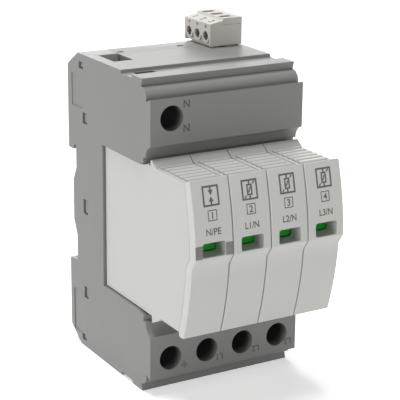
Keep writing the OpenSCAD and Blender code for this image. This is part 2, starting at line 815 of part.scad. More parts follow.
module signal_header() {
    x = [sig_x - header_w / 2, sig_x + header_w / 2];
    y = [-sig_d - header_l / 2, -sig_d + header_l / 2];
    color(dark) difference() {
        box(x, y, [header_low, half_h - run_gap]);
        box([x[0] + header_wall, x[1] - header_wall], [y[0] + header_wall, y[1] - header_wall],
            [header_low + header_floor, half_h]);
        for (k = [1:3])
            signal_pin_shape(k, header_low - past, half_h, thread_gap);
    }
}

module signal_pin_shape(k, z0, z1, grow) {
    x0 = sig_strip_x + sig_strip_t + thread_gap;
    box([x0 - grow, x0 + sig_pin_w + grow],
        [sig_y(k) - sig_pin_w / 2 - grow, sig_y(k) + sig_pin_w / 2 + grow], [z0, z1]);
}

module signal_pins() {
    color(steel) for (k = [1:3])
        signal_pin_shape(k, header_low - fit, half_h - pin_set, 0);
}

module signal_switch() {
    y0 = -bar_y + bar_t + fit;
    color(dark) {
        top = header_low - fit;
        box([switch_x, inner_w / 2 - slide_gap], [y0 + plunger_l, -cover_d - slide_gap], [switch_low, top]);
        box([switch_x + plunger_x, switch_x + plunger_x + plunger_w], [y0, y0 + plunger_l + fit],
            [arm_top - plunger_drop, arm_top - plunger_drop + plunger_w]);
    }
}

// Bar that feels for the plugs with one peg each and works the signal switch
module signal_bar() {
    beam_x = pole_x(poles) + beam_end;
    peg_reach = plug_rear_d + peg_bite;
    color(signal_white) {
        box([-beam_x, beam_x], [-bar_y, -bar_y + bar_t], [-beam_h / 2, beam_h / 2]);
        box([arm_x, arm_x + arm_w], [-bar_y, -bar_y + bar_t], [beam_h / 2 - past, arm_top]);
        box([arm_x, switch_x + arm_reach], [-bar_y, -bar_y + bar_t], [arm_top - arm_h, arm_top]);
        for (i = [1:poles])
            translate([pole_x(i), 0, 0]) rod_y(peg_d, -peg_reach, -bar_y + fit);
    }
}

// End view of the signal plug, with the sloped shoulder towards the screws
module signal_body() {
    top = sig_base + sig_h - sig_lift;
    ledge_x = sig_x0 + ledge_w;
    rotate([90, 0, 0]) translate([0, 0, sig_d - sig_l / 2]) linear_extrude(sig_l) polygon([
        [sig_x0, sig_base], [sig_x1, sig_base], [sig_x1, top], [ledge_x, top],
        [ledge_x - ledge_drop / 2, top - ledge_drop], [sig_x0, top - 2 * ledge_drop]
    ]);
}

module signal_plug() {
    play = slide_gap;
    spigot_w = header_w - 2 * header_wall - 2 * play;
    spigot_l = header_l - 2 * header_wall - 2 * play;
    under_z = sig_screw_z - run_gap;
    color(signal_white) difference() {
        union() {
            signal_body();
            box([sig_x - spigot_w / 2, sig_x + spigot_w / 2], [-sig_d - spigot_l / 2, -sig_d + spigot_l / 2],
                [spigot_low, sig_base + fit]);
        }
        difference() {
            box([sig_x0 - past, sig_x0 + scallop_depth],
                [-sig_d - sig_l / 2 + scallop_end, -sig_d + sig_l / 2 - scallop_end], [sig_base - past, under_z]);
            for (k = [1:3])
                translate([0, sig_y(k), sig_screw_z])
                    rod_x(sig_hole_d + 2 * boss_wall, sig_x0 - past, sig_x0 + scallop_depth + past);
        }
        for (k = [1:3])
            signal_pole_space(k);
        lid_z = sig_base + sig_h - sig_lift - lid_h;
        box([sig_x0 + sig_strip_in, sig_x1 + past], [-sig_d - sig_l / 2 - past, -sig_d - sig_l / 2 + lid_line],
            [lid_z, lid_z + lid_line]);
    }
}

// Room for one signal pole: screw hole, clamp, wire entry and pin socket
module signal_pole_space(k) {
    ring_x0 = sig_strip_x - fit - sig_ring_thread;
    room_x0 = ring_x0 - sig_travel - fit;
    room_x1 = sig_strip_x + sig_strip_t + sig_gap_w + sig_ring_wall + slide_gap;
    room_w = sig_ring_w / 2 + slide_gap;
    top = sig_base + sig_h;
    translate([0, sig_y(k), 0]) {
        translate([0, 0, sig_screw_z]) rod_x(sig_hole_d, sig_x0 - past, room_x0 + past);
        box([room_x0, room_x1], [-room_w, room_w],
            [sig_screw_z - sig_ring_h / 2 - slide_gap, sig_screw_z + sig_ring_h / 2 + slide_gap]);
        box([sig_strip_x + sig_strip_t + fit, room_x1 + entry_l], [-entry_w / 2, entry_w / 2], [sig_screw_z, top]);
        box([sig_strip_x - slide_gap, sig_strip_x + sig_strip_t + sig_pin_w + 2 * slide_gap],
            [-socket_room / 2, socket_room / 2], [spigot_low - past, sig_screw_z]);
        box([sig_x0 - past, sig_x0 + test_hole[0]], [-test_hole[1] / 2, test_hole[1] / 2],
            [sig_screw_z + test_up, sig_screw_z + test_up + test_hole[2]]);
    }
}

module signal_sockets() {
    color(copper) for (k = [1:3])
        box([sig_strip_x, sig_strip_x + sig_strip_t], [sig_y(k) - socket_w / 2, sig_y(k) + socket_w / 2],
            [spigot_low + socket_set, sig_screw_z + sig_ring_h / 2 - fit]);
}

module signal_screw(k) {
    head_x = sig_strip_x - fit - sig_ring_thread - sig_travel - sig_head_gap - sig_head_t;
    color(steel) translate([0, sig_y(k), sig_screw_z]) difference() {
        union() {
            rod_x(sig_hole_d - run_gap, head_x, head_x + sig_head_t);
            rod_x(sig_shank_d, head_x + sig_head_t - fit, sig_strip_x - fit);
        }
        box([head_x - past, head_x + sig_slot], [-sig_hole_d, sig_hole_d], [-sig_slot / 2, sig_slot / 2]);
    }
}

module signal_clamp(k) {
    ring_x0 = sig_strip_x - fit - sig_ring_thread;
    gap_x1 = sig_strip_x + sig_strip_t + sig_gap_w;
    color(steel) translate([0, sig_y(k), sig_screw_z]) difference() {
        box([ring_x0, gap_x1 + sig_ring_wall], [-sig_ring_w / 2, sig_ring_w / 2], [-sig_ring_h / 2, sig_ring_h / 2]);
        box([ring_x0 + sig_ring_thread, gap_x1], [-sig_gap_l / 2, sig_gap_l / 2], [-sig_ring_h, sig_ring_h]);
        rod_x(sig_shank_d + 2 * thread_gap, ring_x0 - past, gap_x1 - past);
    }
}

base_housing();
rear_cover();
rail_foot();
neutral_busbar();
for (t = TERMINALS) {
    terminal_screw(t);
    clamp_cage(t);
}
for (i = [1:poles]) {
    upper_contact(i);
    lower_contact(i);
    plug_shell(i);
    plug_cap(i);
    plug_blade(i, 1);
    plug_blade(i, -1);
    varistor(i);
    status_flag(i);
}
spark_gap();
signal_header();
signal_pins();
signal_switch();
signal_bar();
signal_plug();
signal_sockets();
for (k = [1:3]) {
    signal_screw(k);
    signal_clamp(k);
}
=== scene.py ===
# %% [markdown]
# # A plug-in surge arrester
# The real thing is a mid grey moulded base with five screw terminals, four light grey plug-in modules
# and a small signal plug on top. The CAD model already gives every size and place, in metres, so this
# lesson adds what CAD leaves out: softly rounded mould edges, printed marks, finishes and light.
# The frame is loaded first, and its box is kept so that the dressed model can be compared with it.

# %% Load the frame
import json
import math
import bmesh
import bpy
from mathutils import Matrix, Vector


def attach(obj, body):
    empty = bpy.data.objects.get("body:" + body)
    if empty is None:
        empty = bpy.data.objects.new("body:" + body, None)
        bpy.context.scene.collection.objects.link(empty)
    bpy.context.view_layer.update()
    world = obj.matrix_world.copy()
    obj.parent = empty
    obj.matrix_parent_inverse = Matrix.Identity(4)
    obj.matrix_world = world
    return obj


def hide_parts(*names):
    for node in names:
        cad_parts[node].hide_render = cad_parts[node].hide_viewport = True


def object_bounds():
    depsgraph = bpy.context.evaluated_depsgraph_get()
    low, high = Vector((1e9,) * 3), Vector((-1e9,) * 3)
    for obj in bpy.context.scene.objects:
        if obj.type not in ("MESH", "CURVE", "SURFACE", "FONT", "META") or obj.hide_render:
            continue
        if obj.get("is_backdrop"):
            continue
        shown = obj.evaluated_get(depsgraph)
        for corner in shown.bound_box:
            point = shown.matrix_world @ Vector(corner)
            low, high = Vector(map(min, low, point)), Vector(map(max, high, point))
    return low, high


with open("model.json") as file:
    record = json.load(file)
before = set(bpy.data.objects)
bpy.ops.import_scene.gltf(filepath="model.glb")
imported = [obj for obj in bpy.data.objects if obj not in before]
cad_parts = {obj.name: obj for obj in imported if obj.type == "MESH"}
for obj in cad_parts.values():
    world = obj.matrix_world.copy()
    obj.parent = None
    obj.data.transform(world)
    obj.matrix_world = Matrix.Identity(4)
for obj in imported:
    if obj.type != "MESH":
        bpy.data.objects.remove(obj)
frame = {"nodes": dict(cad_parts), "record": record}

scene = bpy.context.scene
nodes = frame["nodes"]
cad_box = [list(corner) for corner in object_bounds()]

# %% [markdown]
# ## Camera
# The photograph was taken from the left, a little above, with a long lens. A camera can be placed by
# eye, but here its angles and distance come from lines measured on the object, so the matrix is built
# from three directions: back towards the camera, right and up, with a small roll.

# %% Camera
MM = 0.001
LOOK_AT = Vector((1.73, -30, 4.36)) * MM
AZIMUTH, ELEVATION, ROLL = -30.493, 17.295, 0.622
DISTANCE = 438.87 * MM
LENS, SENSOR = 128.95, 36


def photo_camera(target, azimuth, elevation, roll, distance):
    a, e, r = (math.radians(v) for v in (azimuth, elevation, roll))
    back = Vector((math.sin(a) * math.cos(e), -math.cos(a) * math.cos(e), math.sin(e)))
    right = Vector((math.cos(a), math.sin(a), 0))
    up = back.cross(right)
    right, up = math.cos(r) * right + math.sin(r) * up, math.cos(r) * up - math.sin(r) * right
    data = bpy.data.cameras.new("photo_camera")
    data.lens = LENS
    data.sensor_width = SENSOR
    data.clip_start = 10 * MM
    camera = bpy.data.objects.new("photo_camera", data)
    turn = Matrix((right, up, back)).transposed().to_4x4()
    camera.matrix_world = Matrix.Translation(target + back * distance) @ turn
    scene.collection.objects.link(camera)
    scene.camera = camera
    return camera


camera = photo_camera(LOOK_AT, AZIMUTH, ELEVATION, ROLL, DISTANCE)
print("camera at", [round(v, 3) for v in camera.matrix_world.translation])

# %% [markdown]
# ## Floor and background
# A studio table is a plain pale sheet that runs out of sight. To keep it white in the picture without
# flooding the object with light, the rays that come straight from the camera, or by way of a gloss or
# a glass, see a part of the floor's brightness as a steady glow. The rest is lit, so the shadow stays.

# %% Floor and background
PAPER, GLOW = 0.9, 0.5
TABLE_GAP, TABLE_HALF = 0.05 * MM, 3.0
scene.view_settings.view_transform = "Standard"


def seen_rays(tree):
    path = tree.nodes.new("ShaderNodeLightPath")
    total = path.outputs["Is Camera Ray"]
    for other in ("Is Glossy Ray", "Is Transmission Ray"):
        add = tree.nodes.new("ShaderNodeMath")
        add.use_clamp = True
        tree.links.new(total, add.inputs[0])
        tree.links.new(path.outputs[other], add.inputs[1])
        total = add.outputs[0]
    return total


def table_finish():
    mat = bpy.data.materials.new("table_paper")
    mat.use_nodes = True
    tree = mat.node_tree
    tree.nodes.clear()
    matt = tree.nodes.new("ShaderNodeBsdfDiffuse")
    matt.inputs["Color"].default_value = (PAPER, PAPER, PAPER, 1)
    shine = tree.nodes.new("ShaderNodeEmission")
    shine.inputs["Strength"].default_value = GLOW
    both = tree.nodes.new("ShaderNodeAddShader")
    mix = tree.nodes.new("ShaderNodeMixShader")
    out = tree.nodes.new("ShaderNodeOutputMaterial")
    tree.links.new(matt.outputs[0], both.inputs[0])
    tree.links.new(shine.outputs[0], both.inputs[1])
    tree.links.new(seen_rays(tree), mix.inputs[0])
    tree.links.new(matt.outputs[0], mix.inputs[1])
    tree.links.new(both.outputs[0], mix.inputs[2])
    tree.links.new(mix.outputs[0], out.inputs["Surface"])
    return mat


def table_top(height):
    bm = bmesh.new()
    spot = Matrix.Translation((0, 0, height))
    bmesh.ops.create_grid(bm, x_segments=1, y_segments=1, size=TABLE_HALF, matrix=spot)
    mesh = bpy.data.meshes.new("table_top")
    bm.to_mesh(mesh)
    bm.free()
    top = bpy.data.objects.new("table_top", mesh)
    scene.collection.objects.link(top)
    top.data.materials.append(table_finish())
    top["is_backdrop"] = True
    return top


table = table_top(cad_box[0][2] - TABLE_GAP)
print("table top at", round(table.data.vertices[0].co.z, 5))

# %% [markdown]
# ## Light
# The photograph seems to have a lamp low on the left, since the left side is the brightest face, and
# one nearly overhead, which lights the tops and leaves the coves dark. A faint one in front reaches the
# terminals below the plugs, and one behind gives the back its share. Big lamps close by would do, but
# lamps of the sun kind with a wide angle light the object and the table evenly wherever they stand. The
# world fills in the rest.

# %% Light
LAMPS = {
    "window_left": ((-0.97, -0.18, 0.1), 0.43, 30),
    "lamp_above": ((-0.1, 0.12, 0.99), 0.76, 30),
    "lamp_front": ((-0.2, -0.92, 0.33), 0.15, 40),
    "lamp_behind": ((0.3, 0.9, 0.3), 0.3, 40),
}
WORLD_FILL = 0.08


def soft_sun(name, towards, level, spread):
    lamp = bpy.data.lights.new(name, "SUN")
    lamp.energy = level * math.pi
    lamp.angle = math.radians(spread)
    sun = bpy.data.objects.new(name, lamp)
    sun.rotation_euler = Vector(towards).to_track_quat("Z", "Y").to_euler()
    scene.collection.objects.link(sun)


def studio_world(fill):
    world = bpy.data.worlds.new("studio")
    world.use_nodes = True
    tree = world.node_tree
    back = tree.nodes["Background"]
    back.inputs["Color"].default_value = (1, 1, 1, 1)
    level = tree.nodes.new("ShaderNodeMapRange")
    level.inputs["To Min"].default_value = fill
    tree.links.new(seen_rays(tree), level.inputs["Value"])
    tree.links.new(level.outputs[0], back.inputs["Strength"])
    scene.world = world


for name, (towards, level, spread) in LAMPS.items():
    soft_sun(name, towards, level, spread)
studio_world(WORLD_FILL)
print(len(LAMPS), "lamps and a world")

# %% [markdown]
# ## Helpers for node groups
# Plastic and metal both get an even tone that varies a little, by noise. The same few nodes are needed
# each time, so they are made by helpers: a group with named sockets, a noise on the object's own
# coordinates, a value that swings round a middle, and a colour that is scaled by such a value.

# %% Helpers for node groups
NOISE_ROUGHNESS = 0.55


def new_group(name, inputs, outputs):
    group = bpy.data.node_groups.new(name, "ShaderNodeTree")
    for label, kind, value in inputs:
        socket = group.interface.new_socket(
            label, in_out="INPUT", socket_type="NodeSocket" + kind)
        socket.default_value = value
    for label, kind in outputs:
        group.interface.new_socket(label, in_out="OUTPUT", socket_type="NodeSocket" + kind)
    return group, group.nodes.new("NodeGroupInput"), group.nodes.new("NodeGroupOutput")


def add_node(tree, kind, settings=(), **values):
    made = tree.nodes.new("ShaderNode" + kind)
    for name, value in dict(settings).items():
        setattr(made, name, value)
    for name, value in values.items():
        made.inputs[name].default_value = value
    return made


def feed(tree, socket, source):
    """Sets a socket to a number, or links it to another socket"""
    if isinstance(source, (int, float)):
        socket.default_value = source
    else:
        tree.links.new(source, socket)


def noise(tree, where, scale, detail):
    cloud = add_node(tree, "TexNoise", Detail=detail, Roughness=NOISE_ROUGHNESS)
    tree.links.new(where, cloud.inputs["Vector"])
    feed(tree, cloud.inputs["Scale"], scale)
    return cloud.outputs["Fac"]


def around(tree, value, middle, swing):
    """middle plus swing times a noise that runs from -0.5 to 0.5"""
    centred = add_node(tree, "Math", {"operation": "SUBTRACT"})
    centred.inputs[1].default_value = 0.5
    tree.links.new(value, centred.inputs[0])
    out = add_node(tree, "Math", {"operation": "MULTIPLY_ADD"})
    tree.links.new(centred.outputs[0], out.inputs[0])
    feed(tree, out.inputs[1], swing)
    feed(tree, out.inputs[2], middle)
    return out.outputs[0]


def tinted(tree, colour, factor):
    """The colour times a factor that varies round 1"""
    mix = add_node(tree, "VectorMath", {"operation": "SCALE"})
    tree.links.new(colour, mix.inputs[0])
    tree.links.new(factor, mix.inputs["Scale"])
    return mix.outputs[0]


def bumped(group, come, go, height, distance):
    bump = add_node(group, "Bump", Distance=distance)
    group.links.new(come.outputs["Depth"], bump.inputs["Strength"])
    group.links.new(height, bump.inputs["Height"])
    group.links.new(bump.outputs["Normal"], go.inputs["Normal"])


GROUP_OUTPUTS = [("Color", "Color"), ("Roughness", "Float"), ("Normal", "Vector")]
print("each group gives", [label for label, kind in GROUP_OUTPUTS])

# %% [markdown]
# ## Moulded plastic
# All the plastic here is injection moulded: an even colour with faint clouds from the flow, and a fine
# matt grain from the mould. The same effect serves the base, the plugs and the small parts, so it is a
# node group with its own inputs. It gives a colour, a roughness and a normal, and each material keeps
# its own shader. The scales are per metre, so a grain of 4000 is a quarter of a millimetre.

# %% Moulded plastic
CLOUD_SCALE, CLOUD_DETAIL, GRAIN_DETAIL = 70.0, 3.0, 2.0
GRAIN_TINT, GRAIN_SWING, GRAIN_BUMP = 0.03, 0.12, 0.05 * MM


def moulded_group():
    inputs = [
        ("Color", "Color", (0.5, 0.5, 0.5, 1)), ("Cloud", "Float", 0.06), ("Roughness", "Float", 0.5),
        ("Grain", "Float", 4000.0), ("Depth", "Float", 0.1),
    ]
    group, come, go = new_group("moulded_grain", inputs, GROUP_OUTPUTS)
    where = add_node(group, "TexCoord").outputs["Object"]
    broad = noise(group, where, CLOUD_SCALE, CLOUD_DETAIL)
    fine = noise(group, where, come.outputs["Grain"], GRAIN_DETAIL)
    shade = around(group, broad, 1.0, come.outputs["Cloud"])
    colour = tinted(group, come.outputs["Color"], around(group, fine, shade, GRAIN_TINT))
    group.links.new(colour, go.inputs["Color"])
    rough = around(group, fine, come.outputs["Roughness"], GRAIN_SWING)
    group.links.new(rough, go.inputs["Roughness"])
    bumped(group, come, go, fine, GRAIN_BUMP)
    return group


def finish(name, group, metallic=0.0, **values):
    mat = bpy.data.materials.new(name)
    mat.use_nodes = True
    tree = mat.node_tree
    shader = tree.nodes["Principled BSDF"]
    shader.inputs["Metallic"].default_value = metallic
    effect = tree.nodes.new("ShaderNodeGroup")
    effect.node_tree = group
    for label, value in values.items():
        effect.inputs[label].default_value = (*value, 1) if label == "Color" else value
    tree.links.new(effect.outputs["Color"], shader.inputs["Base Color"])
    tree.links.new(effect.outputs["Roughness"], shader.inputs["Roughness"])
    tree.links.new(effect.outputs["Normal"], shader.inputs["Normal"])
    return mat


moulded = moulded_group()
# The second colour on the next line is painted shade for the deep walls of the screwdriver holes.
HOUSING_GREY, HOLE_PAINTED_SHADE = (0.237, 0.239, 0.231), (0.03, 0.03, 0.029)
# The second colour on the next line is painted shade for the valleys between the grip ridges.
SHELL_GREY, GRIP_PAINTED_SHADE = (0.59, 0.59, 0.566), (0.36, 0.35, 0.325)
PLASTICS = {
    "housing": ("mid_grey_plastic", dict(Color=HOUSING_GREY, Roughness=0.5)),
    "cover": ("cover_grey_plastic", dict(Color=(0.228, 0.23, 0.222), Roughness=0.52)),
    "foot": ("foot_plastic", dict(Color=(0.06, 0.06, 0.064), Roughness=0.45)),
    "shell": ("light_grey_plastic", dict(Color=SHELL_GREY, Roughness=0.45, Cloud=0.03)),
    "cap": ("cap_grey_plastic", dict(Color=(0.64, 0.64, 0.614), Roughness=0.45, Cloud=0.03)),
    # The darker grey for the faces inside the window recess is painted shade.
    "window": ("window_painted_shade", dict(Color=(0.5, 0.5, 0.48), Roughness=0.5)),
    "dark_plastic": ("dark_plastic", dict(Color=(0.035, 0.035, 0.038), Roughness=0.45)),
    "bar_plastic": ("natural_plastic", dict(Color=(0.66, 0.64, 0.59), Roughness=0.4)),
    "signal": ("warm_white_plastic", dict(Color=(0.61, 0.583, 0.545), Roughness=0.6)),
    "coating": ("blue_epoxy", dict(Color=(0.03, 0.075, 0.22), Roughness=0.25, Grain=900.0, Depth=0.3)),
    "ceramic": ("white_ceramic", dict(Color=(0.80, 0.78, 0.73), Roughness=0.3, Grain=1500.0)),
}
finishes = {slot: finish(name, moulded, **values) for slot, (name, values) in PLASTICS.items()}
print("plastics", sorted(finishes))

# %% [markdown]
# ## Two colours on one piece
# A status flag is one small moulding, green where it shows in good order and red on the part that comes
# down into the window when the plug has worn out. Two pieces would need a joint between them that the
# real flag hasn't got, so the height in the flag's own coordinates picks the colour. The screwdriver
# holes use the same effect with a slow change: their walls get painted shade that darkens with depth.
# The real ones are most likely one colour, but the lamps alone left them lighter than in the
# photograph.

# %% Two colours on one piece
GREEN, RED = (0.01, 0.45, 0.025), (0.7, 0.012, 0.012)
GREEN_TO, RED_FROM = 7.9, 7.91
FRONT_Y, HOLE_DARK_Y = -48.7, -44.5


def two_tone(name, axis, start, end, low_colour, high_colour, roughness):
    mat = finish(name, moulded, Roughness=roughness)
    tree = mat.node_tree
    where = add_node(tree, "TexCoord")
    split = add_node(tree, "SeparateXYZ")
    share = tree.nodes.new("ShaderNodeMapRange")
    share.inputs["From Min"].default_value = start * MM
    share.inputs["From Max"].default_value = end * MM
    paint = add_node(tree, "Mix", {"data_type": "RGBA"})
    factor, low, high = (socket for socket in paint.inputs if socket.enabled)
    low.default_value = (*low_colour, 1)
    high.default_value = (*high_colour, 1)
    tree.links.new(where.outputs["Object"], split.inputs[0])
    tree.links.new(split.outputs[axis], share.inputs["Value"])
    tree.links.new(share.outputs[0], factor)
    effect = next(n for n in tree.nodes if n.bl_idname == "ShaderNodeGroup")
    mixed = next(socket for socket in paint.outputs if socket.enabled)
    tree.links.new(mixed, effect.inputs["Color"])
    return mat


finishes["flag"] = two_tone("flag_green_red", "Z", GREEN_TO, RED_FROM, GREEN, RED, 0.4)
# The walls of the screwdriver holes get painted shade, darker with depth.
finishes["hole"] = two_tone(
    "hole_painted_shade", "Y", FRONT_Y, HOLE_DARK_Y, HOUSING_GREY, HOLE_PAINTED_SHADE, 0.5)
print("flag: green below", GREEN_TO, "mm, red above")

# %% [markdown]
# ## Stamped and plated metal
# The contacts are punched from copper alloy, the blades are tinned and the screws are zinc plated. Such
# metal shows fine drawn lines and a slightly uneven tone. A noise that is stretched along the height
# gives both, again as a group, with a fainter second noise for the spots of the plating.

# %% Stamped and plated metal
LINE_STRETCH, LINE_DETAIL, LINE_TINT = (3000.0, 3000.0, 120.0), 2.0, 0.12
SPOT_SCALE, SPOT_DETAIL, SPOT_SWING = 350.0, 3.0, 0.25
LINE_BUMP = 0.03 * MM


def plated_group():
    inputs = [
        ("Color", "Color", (0.6, 0.6, 0.6, 1)), ("Cloud", "Float", 0.2), ("Roughness", "Float", 0.35),
        ("Depth", "Float", 0.08),
    ]
    group, come, go = new_group("plated_lines", inputs, GROUP_OUTPUTS)
    where = add_node(group, "TexCoord").outputs["Object"]
    stretch = add_node(group, "Mapping", Scale=LINE_STRETCH)
    group.links.new(where, stretch.inputs["Vector"])
    lines = noise(group, stretch.outputs[0], 1.0, LINE_DETAIL)
    spots = noise(group, where, SPOT_SCALE, SPOT_DETAIL)
    shade = around(group, spots, 1.0, come.outputs["Cloud"])
    colour = tinted(group, come.outputs["Color"], around(group, lines, shade, LINE_TINT))
    group.links.new(colour, go.inputs["Color"])
    rough = around(group, spots, come.outputs["Roughness"], SPOT_SWING)
    group.links.new(rough, go.inputs["Roughness"])
    bumped(group, come, go, lines, LINE_BUMP)
    return group


plated = plated_group()
METALS = {
    "copper": ("copper_strip", 1.0, (0.70, 0.42, 0.24), 0.32),
    "zinc": ("zinc_plate", 1.0, (0.62, 0.63, 0.64), 0.36),
    "blade": ("tin_plate", 1.0, (0.74, 0.72, 0.68), 0.3),
    "dark_screw": ("dark_steel", 0.6, (0.05, 0.05, 0.045), 0.5),
}
for slot, (name, metallic, colour, roughness) in METALS.items():
    finishes[slot] = finish(name, plated, metallic=metallic, Color=colour, Roughness=roughness)
slot_of = {part["node"]: part["material_slot"] for part in frame["record"]["subparts"]}
for name, part in nodes.items():
    part.data.materials.clear()
    part.data.materials.append(finishes[slot_of[name]])
print("finished", len(nodes), "nodes in", len(finishes), "materials")

# %% [markdown]
# ## Finding the edges to round
# No moulded edge is sharp: a radius of a few tenths catches the light and draws the outline of every
# face. Only edges that point outwards are rounded, and only where they are long enough to be seen. A
# bevel without room turns a thin face over, so the triangles that point the wrong way are looked up
# after each bevel, and edges that pass near them can then be left sharp.

# %% Finding the edges to round
OUTWARD = math.radians(35)
SHARP_REACH = 0.3
SLIVER, TURNED_OVER, LEANING = 1e-4, -0.99, 0.5


def outward_edges(bm, shortest, pick=None):
    return [
        e for e in bm.edges
        if e.is_manifold and e.calc_face_angle_signed() > OUTWARD and e.calc_length() > shortest
        and (pick is None or pick(e))
    ]


def near(edge, spots):
    a, b = (v.co for v in edge.verts)
    for spot in spots:
        along = min(1, max(0, (spot - a).dot(b - a) / (b - a).length_squared))
        if (a.lerp(b, along) - spot).length < SHARP_REACH:
            return True
    return False


def folded(bm):
    """Corners of the triangles that a bevel has turned over"""
    bm.normal_update()
    corners = []
    for loops in bm.calc_loop_triangles():
        a, b, c = (loop.vert.co for loop in loops)
        across = (b - a).cross(c - a)
        if across.length < SLIVER:
            continue
        up = across.normalized()
        beside = [f.normal for loop in loops for f in loop.edge.link_faces]
        over = any(up.dot(normal) < TURNED_OVER for normal in beside)
        if over or up.dot(loops[0].face.normal) < LEANING:
            corners += [a.copy(), b.copy(), c.copy()]
    return corners


print("edges turn outwards from", round(math.degrees(OUTWARD)), "degrees on")

# %% [markdown]
# ## Rounded mould edges
# The CAD solids keep plain edges, so each one gets a rounded copy that replaces it. The copy's loose
# triangles are merged, flat faces are joined, hollow ones are split again so that every face is a plain
# convex one, and the outward edges are bevelled. Where a face turned over, the edges near it stay sharp
# and the bevel is made again. The work is done in millimetres, because the bevel of a mesh measured in
# thousandths loses its accuracy. An edge that a hand meets first can be picked for a wider bevel.

# %% Rounded mould edges
MERGE, FLAT = 0.001, math.radians(0.5)
SEGMENTS, WIDE_SEGMENTS, WIDE_SHORTEST = 2, 3, 0.3
ATTEMPTS = 8
bodies = frame["record"]["behaviour"]["bodies"]
body_of = {node: body for body, members in bodies.items() for node in members}


def round_off(bm, edges, width, segments):
    bmesh.ops.bevel(
        bm, geom=edges, offset=width, offset_type="OFFSET", affect="EDGES", segments=segments,
        profile=0.5, material=-1, clamp_overlap=False, loop_slide=False,
    )


def plain_copy(node):
    bm = bmesh.new()
    bm.from_mesh(nodes[node].data)
    bmesh.ops.scale(bm, vec=(1 / MM, 1 / MM, 1 / MM), verts=bm.verts)
    bmesh.ops.remove_doubles(bm, verts=bm.verts, dist=MERGE)
    bmesh.ops.dissolve_limit(bm, angle_limit=FLAT, verts=bm.verts, edges=bm.edges)
    bmesh.ops.connect_verts_concave(bm, faces=bm.faces)
    return bm


def piece_from(bm, name, body, slot, material):
    mesh = bpy.data.meshes.new(name)
    bm.to_mesh(mesh)
    bm.free()
    piece = bpy.data.objects.new(name, mesh)
    scene.collection.objects.link(piece)
    mesh.materials.append(material)
    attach(piece, body)
    return piece


def rounded(node, width, shortest=0.8, crease=35, skip=None, pick=None, wide=0.0,
            recess=None, inner="window"):
    plain, sharp = plain_copy(node), []
    for _ in range(ATTEMPTS):
        bm = plain.copy()
        if pick:
            picked = outward_edges(bm, WIDE_SHORTEST, pick)
            round_off(bm, [e for e in picked if not near(e, sharp)], wide, WIDE_SEGMENTS)
        found = outward_edges(bm, shortest)
        edges = [e for e in found if not (skip and skip(e)) and not near(e, sharp)]
        round_off(bm, edges, width, SEGMENTS)
        spots = folded(bm)
        if not spots:
            break
        sharp += spots
    plain.free()
    for face in bm.faces:
        face.smooth = True
        face.material_index = 1 if recess and recess(face) else 0
    for edge in bm.edges:
        edge.smooth = edge.is_manifold and edge.calc_face_angle(0) < math.radians(crease)
    bmesh.ops.scale(bm, vec=(MM, MM, MM), verts=bm.verts)
    slot = slot_of[node]
    piece = piece_from(bm, "rounded_" + node, body_of[node], slot, finishes[slot])
    if recess:
        piece.data.materials.append(finishes[inner])
    even = piece.modifiers.new("even_faces", "WEIGHTED_NORMAL")
    even.keep_sharp = True
    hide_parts(node)
    if spots:
        print(node, "still has", len(spots), "folded corners")
    return piece


print(len(body_of), "nodes can be rounded")

# %% [markdown]
# ## Base, cover and foot
# The corners of the base's front faces are the ones that a hand meets first, so they are picked for the
# wider bevel. The walls of the screwdriver holes take the second finish, painted shade that gets darker
# with depth: a face belongs to a hole when its middle lies within the hole's radius, behind the rim.
# The cover that closes the base from behind and its sliding foot need only the plain bevel.

# %% Base, cover and foot
TOUCH = 0.05
FACE_Z, BODY_HALF = 42.6, 25.7
POLE = 12.5
POLES = [(i - 2.5) * POLE for i in (1, 2, 3, 4)]
HOLE_Z, HOLE_REACH, HOLE_RIM = 36.6, 3.76, 0.3
BASE_EDGE, BLOCK_EDGE, COVER_EDGE, FOOT_EDGE = 0.18, 0.35, 0.18, 0.15


def on_block_edge(edge):
    ends = [v.co for v in edge.verts]
    front = max(v.y for v in ends) < FRONT_Y + TOUCH
    level = all(abs(abs(v.z) - FACE_Z) < TOUCH for v in ends)
    side = min(abs(v.x) for v in ends) > BODY_HALF - TOUCH
    return front and (level or side)


def in_hole(face):
    spot = face.calc_center_median()
    aside = min(abs(spot.x - pole) for pole in POLES)
    away = math.hypot(aside, abs(spot.z) - HOLE_Z)
    return away < HOLE_REACH and spot.y > FRONT_Y + HOLE_RIM


base = rounded(
    "base_housing", BASE_EDGE, pick=on_block_edge, wide=BLOCK_EDGE, recess=in_hole, inner="hole")
print("base_housing has", len(base.data.polygons), "faces")
for node, width in {"rear_cover": COVER_EDGE, "rail_foot": FOOT_EDGE}.items():
    print(node, "has", len(rounded(node, width).data.polygons), "faces")

# %% [markdown]
# ## Plugs
# Each plug is a shell with a front cap glued on. The cap is what a finger meets, so its outer front
# edges are rounder than the rest, while its window stays crisp. The first bevel therefore picks only
# the edges that lie on the front face and on the cap's outline, and a second small one does the others.
# The shell has a rounder top edge on each side, beside the grip ridges, which stay sharp. The faces
# inside the window recess take a second finish, a darker grey that is painted shade. So do the ridges:
# in the photograph the valleys between them are darker than the crests, and the lamps alone left the
# ridges too faint, so the two-colour effect paints shade into the valleys by height.

# %% Plugs
CAP_TOP, CAP_LOW, CAP_HALF = 24.4, -22.8, 6.1
SHELL_TOP, SHELL_REACH, SHOULDER_Y = 23.1, 0.2, -47.5
GRIP_Y, GRIP_DARK_Z, GRIP_LIGHT_Z = -50, 23.35, 23.62
WINDOW_HALF, WINDOW_LOW, WINDOW_HIGH = 3.8, 2.6, 7.1
SHELL_EDGE, CAP_EDGE, FINGER_EDGE = 0.12, 0.1, 0.3
FACES_FRONT, FACES_AWAY, SHELL_CREASE = -0.8, -0.6, 12


